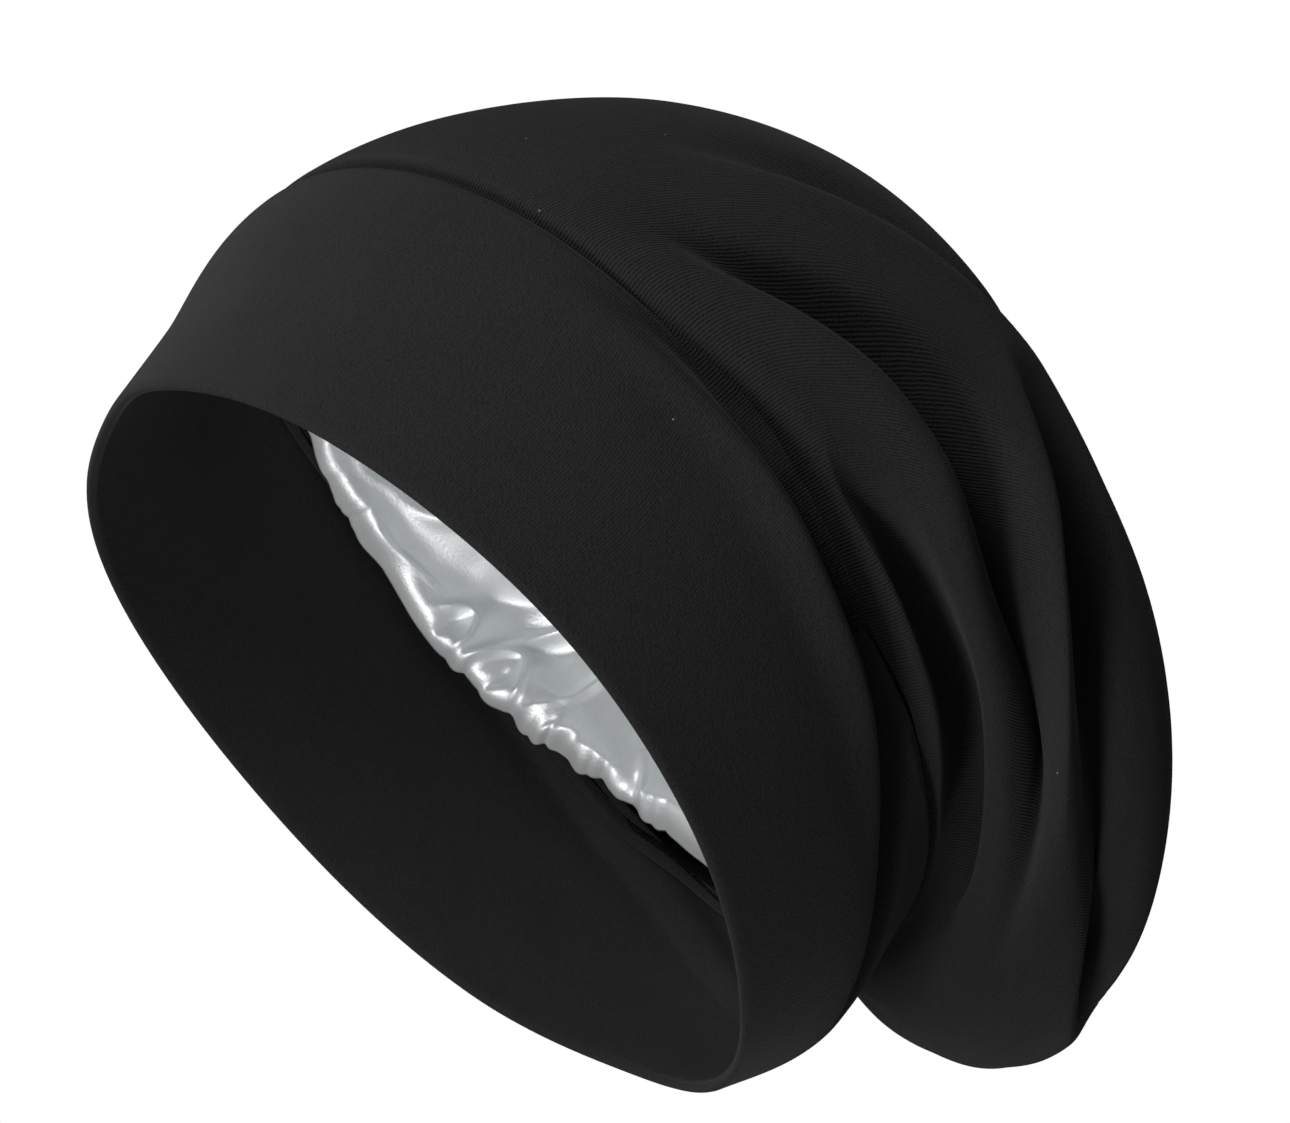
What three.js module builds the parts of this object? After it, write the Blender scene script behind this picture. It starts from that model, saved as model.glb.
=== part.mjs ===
// Slouchy jersey beanie with a gathered satin lining, in the shape that it has on a head.
// Units are millimetres. +X is the wearer's left, -Y the front, +Z up.
// The origin is the centre of the head opening, in the plane of the rim.
import * as THREE from 'three';
import { mergeVertices } from 'three/addons/utils/BufferGeometryUtils.js';

// Sizes of the hat
const OPENING_LENGTH = 184.6;   // rim, forehead to nape, over the cloth
const OPENING_WIDTH = 170;      // rim, ear to ear, over the cloth
const BAND_HEIGHT = 49;         // rim to seam at the forehead and the nape
const SIDE_RISE = 17;           // extra height of the seam above the ears
const CROWN_DEPTH = 102;        // seam to the top of the slouch, square to the rim
const RIM_TILT = 43.9;          // degrees that the forehead side of the rim is raised
const FOLD_DEPTH = 15;          // deepest fold of the crown
const FOLD_WIDTH = 14;          // reach of the gentle side of the widest fold

// Cloth and clearances
const BAND_WALL = 2.6;          // two layers of jersey, folded over at the rim
const CROWN_WALL = 1.8;         // one layer of jersey
const LINING_WALL = 1;          // satin with its backing
const SEAM_GAP = 0.35;          // clearance between pieces that are sewn together
const LINING_GAP = 0.8;         // clearance of the lining where it is pinched to the seam
const LINING_HANG = 8;          // how far the slack satin hangs off the crown
const LINING_OVERHANG = 9;      // gathered edge of the satin, below the seam
const GATHER_DEPTH = 4;         // how far each gather puffs inwards
const GATHER_SCALLOP = 3;       // how far each gather reaches past its neighbours
const GATHERS = 32;             // gathers round the lining's edge

// Stations along the cloth: 0 at the rim, 1 at the tail of the slouch
const SEAM = 0.222;
const SEAM_SLANT = 0.006;       // the seamed edges are drawn back on the inside
const SEAM_ALLOWANCE = 0.010;   // the lining lies flat on the crown this far past the seam
const PER_MM = SEAM / BAND_HEIGHT;

// Rows of facets, as shares of the way from one fold line to the next
const TO_BAND_CREASE = [0.08, 0.4, 0.72, 0.88, 1];
const TO_SEAM = [0.4];
const TO_LOW_FOLD = [0.35, 0.7, 0.88, 1];
const TO_DEEP_FOLD = [0.2, 0.42, 0.62, 0.78, 0.9, 1];
const TO_TAIL_FOLD = [0.16, 0.34, 0.54, 0.74, 0.89, 1];
const TO_TAIL = [0.07, 0.15, 0.26, 0.39, 0.53, 0.67, 0.8, 0.9, 0.96, 1];
const LINING_ROWS = [0.09, 0.22, 0.35, 0.47, 0.58, 0.71, 0.86, 1];  // seam to tail

const SHELL_SEGMENTS = 60;
const LINING_SEGMENTS = 3 * GATHERS;
const ROUTE_STEPS = 24;
const WELD = 1e-4;              // points closer than this are one
const NUDGE = 1e-3;             // step in station and angle for a surface's direction

// Sections of the cloth, one row per station. along is a share of half the opening's length,
// band of the band's height, crown of the crown's depth, half_width of half the opening's
// width, and side_rise of the seam's rise above the ears.
const SECTIONS = [
  { at: 0.00, front: { along: 1.000, band: 0.00, crown: 0.000 },
    back: { along: -1.000, band: 0.00, crown: 0.000 }, half_width: 1.000, side_rise: 0.18 },
  { at: 0.10, front: { along: 1.050, band: 0.42, crown: 0.000 },
    back: { along: -1.080, band: 0.40, crown: 0.000 }, half_width: 1.010, side_rise: 0.50 },
  { at: 0.22, front: { along: 1.125, band: 1.00, crown: 0.000 },
    back: { along: -1.025, band: 1.00, crown: 0.000 }, half_width: 1.020, side_rise: 1.00 },
  { at: 0.34, front: { along: 1.050, band: 1.00, crown: 0.350 },
    back: { along: -1.110, band: 1.00, crown: 0.003 }, half_width: 1.035, side_rise: 0.82 },
  { at: 0.46, front: { along: 0.800, band: 1.00, crown: 0.720 },
    back: { along: -1.200, band: 1.00, crown: -0.026 }, half_width: 1.035, side_rise: 0.41 },
  { at: 0.58, front: { along: 0.440, band: 1.00, crown: 0.945 },
    back: { along: -1.300, band: 1.00, crown: -0.034 }, half_width: 1.010, side_rise: 0.12 },
  { at: 0.69, front: { along: 0.050, band: 1.00, crown: 0.990 },
    back: { along: -1.393, band: 1.00, crown: -0.015 }, half_width: 0.960, side_rise: 0.00 },
  { at: 0.79, front: { along: -0.310, band: 1.00, crown: 0.930 },
    back: { along: -1.450, band: 1.00, crown: 0.030 }, half_width: 0.870, side_rise: 0.00 },
  { at: 0.88, front: { along: -0.635, band: 1.00, crown: 0.805 },
    back: { along: -1.445, band: 1.00, crown: 0.130 }, half_width: 0.680, side_rise: 0.00 },
  { at: 0.95, front: { along: -0.890, band: 1.00, crown: 0.660 },
    back: { along: -1.350, band: 1.00, crown: 0.285 }, half_width: 0.420, side_rise: 0.00 },
  { at: 1.00, front: { along: -1.155, band: 1.00, crown: 0.480 },
    back: { along: -1.155, band: 1.00, crown: 0.480 }, half_width: 0.000, side_rise: 0.00 },
];
const FOREHEAD_BLUNTNESS = 0.15;   // extra length of the front half's oval beside its middle
const SIDE_RISE_TO_BACK = 0.35;    // how much more the seam rises behind the ears than before

// Folds, one row each. A route lists [degrees from the forehead, station]. depth is a share of
// the fold depth, right how much of it the wearer's right side has, steep and gentle are the two
// sides of the valley as shares of the fold width, lip is the crest in front of the valley as a
// share of its depth, and ends_at is the share of the route after which the fold runs out.
// forehead is the station that the fold's row of facets starts from.
const FOLDS = [
  { name: 'band_crease', depth: 0.53, right: 0.30, steep: 0.30, gentle: 0.50, lip: 0.30, ends_at: 0.80,
    forehead: 0.150,
    route: [[62, 0.205], [85, 0.198], [106, 0.176], [134, 0.143], [160, 0.115], [176, 0.100]] },
  { name: 'low_fold', depth: 0.60, right: 0.80, steep: 0.32, gentle: 0.57, lip: 0.40, ends_at: 0.72,
    forehead: 0.245,
    route: [[98, 0.245], [118, 0.258], [132, 0.300], [146, 0.335], [172, 0.330]] },
  { name: 'deep_fold', depth: 1.00, right: 0.85, steep: 0.40, gentle: 0.93, lip: 0.35, ends_at: 0.70,
    forehead: 0.300,
    route: [[62, 0.280], [80, 0.366], [95, 0.446], [113, 0.491], [130, 0.516], [150, 0.540],
      [168, 0.530]] },
  { name: 'tail_fold', depth: 0.87, right: 1.00, steep: 0.40, gentle: 1.00, lip: 0.35, ends_at: 0.85,
    forehead: 0.420,
    route: [[46, 0.340], [62, 0.430], [71, 0.560], [82, 0.635], [105, 0.644], [130, 0.690],
      [157, 0.779], [176, 0.800]] },
  { name: 'top_fold', depth: 0.40, right: 0.75, steep: 0.43, gentle: 1.00, lip: 0.30, ends_at: 0.70,
    forehead: 0.400,
    route: [[35, 0.400], [50, 0.500], [64, 0.620], [73, 0.740], [86, 0.800]] },
];
const FOLD_STARTS = 0.35;       // share of a route over which its fold deepens
const FOLD_NARROWS = 0.4;       // how much narrower a fold is at the nape
const FOLD_RUNOUT = [0.93, 0.99];  // stations between which every fold runs out at the tail
const CREST_ENDS = [0.45, 0.75];   // shares of a route between which its crest dies away
const CREST_OFFSET = 2.1;       // from the valley to its crest, in steep sides
const CREST_REACH = 1.3;        // reach of the crest, in steep sides

// How the lining hangs: its spans are in fold widths, the rest are shares of the way from the
// seam to the tail
const LINING_EDGE_SPAN = 0.8;   // the satin spans the folds at its edge
const LINING_SPAN = 1.6;        // and further in, where it is slack
const SLACK_ENDS = 0.15;        // where the satin has come off the crown by its full distance
const GATHERS_END = 0.25;

const JERSEY = { color: 0x1b1b1d, roughness: 0.95, metalness: 0 };
const SATIN = { color: 0xb4b8bc, roughness: 0.35, metalness: 0 };

const tilt = THREE.MathUtils.degToRad(RIM_TILT);
const forward = new THREE.Vector3(0, -Math.cos(tilt), Math.sin(tilt));
const upward = new THREE.Vector3(0, Math.sin(tilt), Math.cos(tilt));
const sideways = new THREE.Vector3(1, 0, 0);

const smooth = THREE.MathUtils.smoothstep;
const gauss = (distance, reach) => Math.exp(-((distance / reach) ** 2));

// Smooth curve through every row of a table whose first column is where the row stands
function alongTable(rows, x) {
  const last = rows.length - 1;
  const rate = (i, c) => (rows[i + 1][c] - rows[i][c]) / (rows[i + 1][0] - rows[i][0]);
  const slope = (i, c) => {
    if (i === 0) return rate(0, c);
    if (i === last) return rate(last - 1, c);
    const before = rows[i][0] - rows[i - 1][0];
    const after = rows[i + 1][0] - rows[i][0];
    return (rate(i - 1, c) * after + rate(i, c) * before) / (before + after);
  };
  let i = 0;
  while (i < last - 1 && x >= rows[i + 1][0]) i += 1;
  const step = rows[i + 1][0] - rows[i][0];
  const q = (x - rows[i][0]) / step;
  return rows[i].slice(1).map((start, k) => {
    const end = rows[i + 1][k + 1];
    const [from, to] = [slope(i, k + 1) * step, slope(i + 1, k + 1) * step];
    return start + q * (from + q * (3 * (end - start) - 2 * from - to
      + q * (2 * (start - end) + from + to)));
  });
}

const sectionRows = SECTIONS.map(({ at, front, back, half_width, side_rise }) => [at,
  front.along, front.band, front.crown, back.along, back.band, back.crown, half_width, side_rise]);

// Point in the middle plane of the hat, from its shares of the named sizes
function middlePoint(along, band, crown) {
  return new THREE.Vector3()
    .addScaledVector(forward, along * OPENING_LENGTH / 2)
    .addScaledVector(upward, band * BAND_HEIGHT + crown * CROWN_DEPTH);
}

// The cloth without its folds, at a station and an angle round the head
function plainCloth(station, angle) {
  const [fa, fb, fc, ba, bb, bc, halfWidth, sideRise] = alongTable(sectionRows, station);
  const front = middlePoint(fa, fb, fc);
  const back = middlePoint(ba, bb, bc);
  const chord = front.clone().sub(back);
  const half = chord.length() / 2;
  chord.normalize();
  const rise = new THREE.Vector3().crossVectors(chord, sideways);
  const [cos, sin] = [Math.cos(angle), Math.sin(angle)];
  const blunt = cos > 0 ? 1 + FOREHEAD_BLUNTNESS * sin * sin : 1;
  return front.add(back).multiplyScalar(0.5)
    .addScaledVector(chord, half * cos * blunt)
    .addScaledVector(rise, sideRise * SIDE_RISE * sin * sin * (1 - SIDE_RISE_TO_BACK * cos))
    .addScaledVector(sideways, halfWidth * OPENING_WIDTH / 2 * sin);
}

// Station of a fold's line at an angle round the head
function foldLine(name, angle) {
  const { route, forehead } = FOLDS.find((fold) => fold.name === name);
  const degrees = THREE.MathUtils.radToDeg(Math.acos(Math.cos(angle)));
  const [first, last] = [route[0], route[route.length - 1]];
  if (degrees <= first[0]) {
    return THREE.MathUtils.lerp(forehead, first[1], smooth(degrees, 0, first[0]));
  }
  return alongTable(route, Math.min(degrees, last[0]))[0];
}

// Rows between two lines of the cloth, each a function from the angle to the row's station
const between = (from, to, shares) => shares.map((share) => (angle) => (
  THREE.MathUtils.lerp(from(angle), to(angle), share)));

// Outward direction of a surface that is given as a function of station and angle
function outward(surface, station, angle) {
  const top = Math.min(station, 1 - 2 * NUDGE);
  const round = surface(top, angle + NUDGE).sub(surface(top, angle - NUDGE));
  const up = surface(top + NUDGE, angle).sub(surface(Math.max(top - NUDGE, 0), angle));
  return round.cross(up).normalize();
}

// Each fold's route on the plain cloth, on both sides of the head
const routes = FOLDS.flatMap((fold) => [1, -1].map((side) => {
  const steps = Array.from({ length: ROUTE_STEPS + 1 }, (_, i) => i / ROUTE_STEPS);
  const first = fold.route[0][0];
  const last = fold.route[fold.route.length - 1][0];
  const places = steps.map((share) => {
    const degrees = first + (last - first) * share;
    const [station] = alongTable(fold.route, degrees);
    const angle = side * THREE.MathUtils.degToRad(degrees);
    return { point: plainCloth(station, angle), normal: outward(plainCloth, station, angle) };
  });
  const points = places.map((place) => place.point);
  const toTail = places.map(({ normal }, i) => points[Math.min(i + 1, ROUTE_STEPS)].clone()
    .sub(points[Math.max(i - 1, 0)]).cross(normal).multiplyScalar(-side).normalize());
  return { fold, depth: FOLD_DEPTH * fold.depth * (side > 0 ? 1 : fold.right), points, toTail };
}));

// Where a point lies beside a route: share of the route, and distance, positive to the tail
function besideRoute({ points, toTail }, point) {
  const nearest = new THREE.Vector3();
  const line = new THREE.Line3();
  let best = { gap: Infinity };
  for (let i = 0; i < ROUTE_STEPS; i += 1) {
    line.set(points[i], points[i + 1]);
    const share = line.closestPointToPointParameter(point, true);
    line.at(share, nearest);
    const gap = nearest.distanceTo(point);
    if (gap < best.gap) {
      const direction = toTail[i].clone().lerp(toTail[i + 1], share);
      const side = Math.sign(direction.dot(point.clone().sub(nearest)));
      best = { gap, distance: side * gap, share: (i + share) / ROUTE_STEPS };
    }
  }
  return best;
}

// Depth of the folds at a point of the plain cloth: negative in a valley, positive on a crest.
// A slack cloth spans each valley with a reach of its own and has no crests.
function foldHeight(point, station, span = 0) {
  let valley = 0;
  let crest = 0;
  for (const route of routes) {
    const { fold } = route;
    const { distance, share } = besideRoute(route, point);
    const strength = route.depth * smooth(share, 0, FOLD_STARTS)
      * (1 - smooth(share, fold.ends_at, 1));
    const width = FOLD_WIDTH * (1 - FOLD_NARROWS * smooth(share, FOLD_STARTS, 1));
    const steep = width * fold.steep;
    const reach = span * FOLD_WIDTH || (distance < 0 ? steep : width * fold.gentle);
    valley = Math.max(valley, strength * gauss(distance, reach));
    const lip = fold.lip * (1 - smooth(share, CREST_ENDS[0], CREST_ENDS[1]));
    const beyond = distance + CREST_OFFSET * steep;
    crest = Math.max(crest, lip * strength * gauss(beyond, CREST_REACH * steep));
  }
  const fade = 1 - smooth(station, FOLD_RUNOUT[0], FOLD_RUNOUT[1]);
  if (span > 0) return -valley * fade;
  return (crest * Math.max(0, 1 - valley / FOLD_DEPTH) - valley) * fade;
}

// The folded cloth's outer face
function foldedCloth(station, angle) {
  const point = plainCloth(station, angle);
  const height = foldHeight(point, station);
  return point.addScaledVector(outward(plainCloth, station, angle), height);
}

// The folded cloth, set in from its outer face
function clothAt(station, angle, inset) {
  return foldedCloth(station, angle)
    .addScaledVector(outward(foldedCloth, station, angle), -inset);
}

// How far a gather of the lining puffs out at an angle, from 0 where it is pinched to 1
const puffAt = (angle) => 0.5 - 0.5 * Math.cos(GATHERS * angle);

// The lining, set in from its own outer face. It hangs over the band's top, is sewn to the
// crown at the seam, and comes off the crown beyond it.
function liningAt(station, angle, inset) {
  const past = (station - SEAM - SEAM_ALLOWANCE) / (1 - SEAM);
  const slack = smooth(past, 0, SLACK_ENDS);
  const span = THREE.MathUtils.lerp(LINING_EDGE_SPAN, LINING_SPAN, slack);
  const point = plainCloth(station, angle);
  const wall = station > SEAM ? CROWN_WALL : BAND_WALL;
  const gather = GATHER_DEPTH * puffAt(angle) * (1 - smooth(past, 0, GATHERS_END));
  const depth = wall + LINING_GAP + LINING_HANG * slack + gather + inset
    - foldHeight(point, station, span);
  return point.addScaledVector(outward(plainCloth, station, angle), -depth);
}

// Closed solid from a lathed profile whose points are then moved onto the cloth
function shapedLathe(profile, segments, place) {
  const plain = profile.map(({ at, inset }) => new THREE.Vector2(1 - at(0) + inset, at(0)));
  const lathe = new THREE.LatheGeometry(plain, segments);
  const position = lathe.getAttribute('position');
  for (let turn = 0; turn <= segments; turn += 1) {
    const angle = (turn % segments) * 2 * Math.PI / segments;
    profile.forEach(({ at, inset }, i) => {
      const station = at(angle);
      const point = place(station, station === 1 ? 0 : angle, inset);
      position.setXYZ(turn * profile.length + i, point.x, point.y, point.z);
    });
  }
  lathe.deleteAttribute('normal');
  lathe.deleteAttribute('uv');
  return pointingOut(mergeVertices(lathe, WELD));
}

// The same solid without flat triangles, its faces pointing out
function pointingOut(geometry) {
  const position = geometry.getAttribute('position');
  const corner = [new THREE.Vector3(), new THREE.Vector3(), new THREE.Vector3()];
  const kept = [];
  let volume = 0;
  for (let i = 0; i < geometry.index.count; i += 3) {
    const [a, b, c] = [0, 1, 2].map((k) => geometry.index.getX(i + k));
    if (a !== b && b !== c && c !== a) {
      kept.push([a, b, c]);
      [a, b, c].forEach((index, k) => corner[k].fromBufferAttribute(position, index));
      volume += corner[0].dot(corner[1].cross(corner[2]));
    }
  }
  geometry.setIndex(kept.flatMap(([a, b, c]) => (volume > 0 ? [a, b, c] : [a, c, b])));
  geometry.computeVertexNormals();
  return geometry;
}

// Profile of a bag: tail, outer face down to the mouth, inner face back up to the tail
function bagProfile(rows, innerRows, wall) {
  const outer = [...rows].reverse().map((at) => ({ at, inset: 0 }));
  return [...outer, ...innerRows.map((at) => ({ at, inset: wall }))];
}

const rim = () => 0;
const seam = () => SEAM;
const tail = () => 1;
const bandCrease = (angle) => foldLine('band_crease', angle);
const lowFold = (angle) => foldLine('low_fold', angle);
const deepFold = (angle) => foldLine('deep_fold', angle);
const tailFold = (angle) => foldLine('tail_fold', angle);

// Double band, folded over at the rim and open at the seam
function makeBand() {
  const top = SEAM - SEAM_GAP * PER_MM;
  const rows = [...between(rim, bandCrease, TO_BAND_CREASE), ...between(bandCrease, seam, TO_SEAM)];
  const inner = [...rows].reverse().map((at) => ({ at, inset: BAND_WALL }));
  return shapedLathe([
    { at: rim, inset: BAND_WALL / 2 },
    ...rows.map((at) => ({ at, inset: 0 })),
    { at: () => top, inset: 0 },
    { at: () => top - SEAM_SLANT, inset: BAND_WALL },
    ...inner,
    { at: rim, inset: BAND_WALL / 2 },
  ], SHELL_SEGMENTS, clothAt);
}

// Slouch crown, one layer, open at the seam
function makeCrown() {
  const folds = [
    ...between(seam, lowFold, TO_LOW_FOLD),
    ...between(lowFold, deepFold, TO_DEEP_FOLD),
    ...between(deepFold, tailFold, TO_TAIL_FOLD),
    ...between(tailFold, tail, TO_TAIL),
  ];
  return shapedLathe(
    bagProfile([seam, ...folds], [() => SEAM + SEAM_SLANT, ...folds], CROWN_WALL),
    SHELL_SEGMENTS, clothAt);
}

// Satin lining, gathered along its edge
function makeLining() {
  const edge = (angle) => (
    SEAM - (LINING_OVERHANG + GATHER_SCALLOP * (puffAt(angle) - 0.5)) * PER_MM);
  const onBand = () => SEAM - SEAM_SLANT / 2;
  const onCrown = () => SEAM + SEAM_ALLOWANCE;
  const rows = [edge, onBand, onCrown, ...between(onCrown, tail, LINING_ROWS)];
  return shapedLathe(bagProfile(rows, rows, LINING_WALL), LINING_SEGMENTS, liningAt);
}

function piece(name, geometry, finish) {
  const mesh = new THREE.Mesh(geometry, new THREE.MeshStandardMaterial(finish));
  mesh.name = name;
  return mesh;
}

const beanie = new THREE.Group();
beanie.add(piece('band', makeBand(), JERSEY));
beanie.add(piece('crown', makeCrown(), JERSEY));
beanie.add(piece('lining', makeLining(), SATIN));

export default beanie;
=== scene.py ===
"""Slouchy jersey beanie with a gathered satin lining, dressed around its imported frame."""

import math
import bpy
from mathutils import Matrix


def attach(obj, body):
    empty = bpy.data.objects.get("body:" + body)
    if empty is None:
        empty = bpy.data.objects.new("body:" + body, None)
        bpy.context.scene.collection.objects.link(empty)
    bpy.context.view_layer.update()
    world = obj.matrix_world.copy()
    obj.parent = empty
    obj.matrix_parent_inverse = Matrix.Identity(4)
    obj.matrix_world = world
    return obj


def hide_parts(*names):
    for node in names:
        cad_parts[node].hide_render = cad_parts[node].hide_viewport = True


bl_info = {
    "name": "Satin lined beanie",
    "version": (1, 0, 0),
    "blender": (4, 5, 0),
    "location": "3D View > Sidebar > Beanie",
    "description": "Builds a slouchy jersey beanie with a gathered satin lining",
    "category": "Add Mesh",
}

import bmesh
import bpy
import numpy as np
from mathutils import Vector

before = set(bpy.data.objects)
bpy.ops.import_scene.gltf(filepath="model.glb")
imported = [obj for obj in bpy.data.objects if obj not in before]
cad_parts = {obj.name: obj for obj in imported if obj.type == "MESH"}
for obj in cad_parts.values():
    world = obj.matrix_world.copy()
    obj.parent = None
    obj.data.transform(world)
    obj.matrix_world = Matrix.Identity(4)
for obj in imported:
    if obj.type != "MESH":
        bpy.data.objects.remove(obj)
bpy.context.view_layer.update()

MM = 0.001

# Stations along the cloth: 0 at the rim, 1 at the tail of the slouch
SEAM = 0.222

# Sections of the cloth, one row per station: front and back are shares of half the opening's
# length, of the band's height and of the crown's depth, then the half width as a share of half
# the opening's width, and the seam's rise above the ears as a share of the side rise.
SECTIONS = (
    # at   | front: along, band, crown | back: along, band, crown | half width, side rise
    (0.00, 1.000, 0.00, 0.000, -1.000, 0.00, 0.000, 1.000, 0.18),
    (0.10, 1.052, 0.42, 0.000, -1.080, 0.40, 0.000, 1.010, 0.50),
    (0.22, 1.132, 1.00, 0.000, -1.025, 1.00, 0.000, 1.020, 1.00),
    (0.34, 1.050, 1.00, 0.350, -1.110, 1.00, 0.003, 1.035, 0.82),
    (0.46, 0.800, 1.00, 0.720, -1.215, 1.00, -0.026, 1.035, 0.41),
    (0.58, 0.440, 1.00, 0.945, -1.285, 1.00, -0.034, 1.010, 0.12),
    (0.69, 0.050, 1.00, 0.990, -1.362, 1.00, -0.015, 0.965, 0.00),
    (0.79, -0.320, 1.00, 0.925, -1.445, 1.00, 0.030, 0.885, 0.00),
    (0.88, -0.685, 1.00, 0.820, -1.482, 1.00, 0.130, 0.705, 0.00),
    (0.95, -0.955, 1.00, 0.660, -1.388, 1.00, 0.285, 0.405, 0.00),
    (1.00, -1.180, 1.00, 0.480, -1.180, 1.00, 0.480, 0.000, 0.00),
)
FOREHEAD_BLUNTNESS = 0.15
SIDE_RISE_TO_BACK = 0.35   # how much more of the side rise lies behind the ears

# How far the rim hangs below its own plane, as a share of the band's height
RIM_DROP = (
    # degrees from the forehead, positive on the wearer's left | drop
    (-180, 0.050), (-150, -0.015), (-120, 0.060), (-60, 0.070), (-20, 0.050), (0, 0.000),
    (30, 0.080), (60, 0.050), (90, 0.020), (120, 0.050), (155, 0.095), (180, 0.050),
)
RIM_DROP_ENDS = 0.12

# Where the seam runs: degrees from the forehead, station
SEAM_LINE = (
    (0, 0.232), (30, 0.243), (50, 0.238), (75, 0.222), (96, 0.211), (120, 0.190), (137, 0.193),
    (155, 0.213), (180, 0.222),
)
SEAM_SHIFT_ENDS = 0.50

# Folds: depth is a share of the fold depth, right how much of it the wearer's right side has,
# steep and gentle the two sides of the valley as shares of the fold width, lip the crest in
# front of the valley as a share of its depth, lean how far that crest is tipped over the
# valley as a share of the fold width, and ends_at where the fold starts to run out. A route
# lists (degrees from the forehead, station).
FOLDS = (
    dict(depth=0.84, right=0.24, steep=0.24, gentle=0.34, lip=0.30, lean=0.08, ends_at=0.80,
         route=((62, 0.212), (85, 0.206), (100, 0.195), (114, 0.179), (128, 0.167), (144, 0.146),
                (160, 0.125), (176, 0.108))),
    dict(depth=0.52, right=0.75, steep=0.26, gentle=0.26, lip=0.40, lean=0.10, ends_at=0.72,
         route=((98, 0.228), (111, 0.240), (126, 0.248), (140, 0.274), (156, 0.305), (172, 0.330))),
    dict(depth=1.00, right=0.85, steep=0.32, gentle=0.48, lip=0.30, lean=0.10, ends_at=0.70,
         route=((62, 0.270), (72, 0.322), (79, 0.385), (86, 0.450), (94, 0.495), (103, 0.505),
                (116, 0.495), (130, 0.485), (146, 0.490), (168, 0.500))),
    dict(depth=0.80, right=1.00, steep=0.38, gentle=0.60, lip=0.35, lean=0.06, ends_at=0.85,
         route=((64, 0.668), (72, 0.682), (84, 0.696), (98, 0.698), (114, 0.706), (132, 0.740),
                (154, 0.825), (174, 0.885))),
    dict(depth=0.32, right=0.70, steep=0.30, gentle=0.60, lip=0.24, lean=0.04, ends_at=0.80,
         route=((50, 0.360), (54, 0.425), (56.5, 0.495), (58, 0.565), (57.5, 0.630), (53.5, 0.695),
                (46, 0.745), (35, 0.775))),
)

# Edge of the satin: degrees from the forehead to either side, row (the seam's is SEAM)
SATIN_EDGE = (
    (0, 0.200), (30, 0.210), (49, 0.213), (59, 0.198), (74, 0.187), (88, 0.182), (99, 0.190),
    (106, 0.202), (114, 0.215), (122, 0.222), (132, 0.225), (155, 0.215), (180, 0.205),
)
EDGE_SCALLOP = 0.006
SMALL_SCALLOP = 0.004

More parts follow.
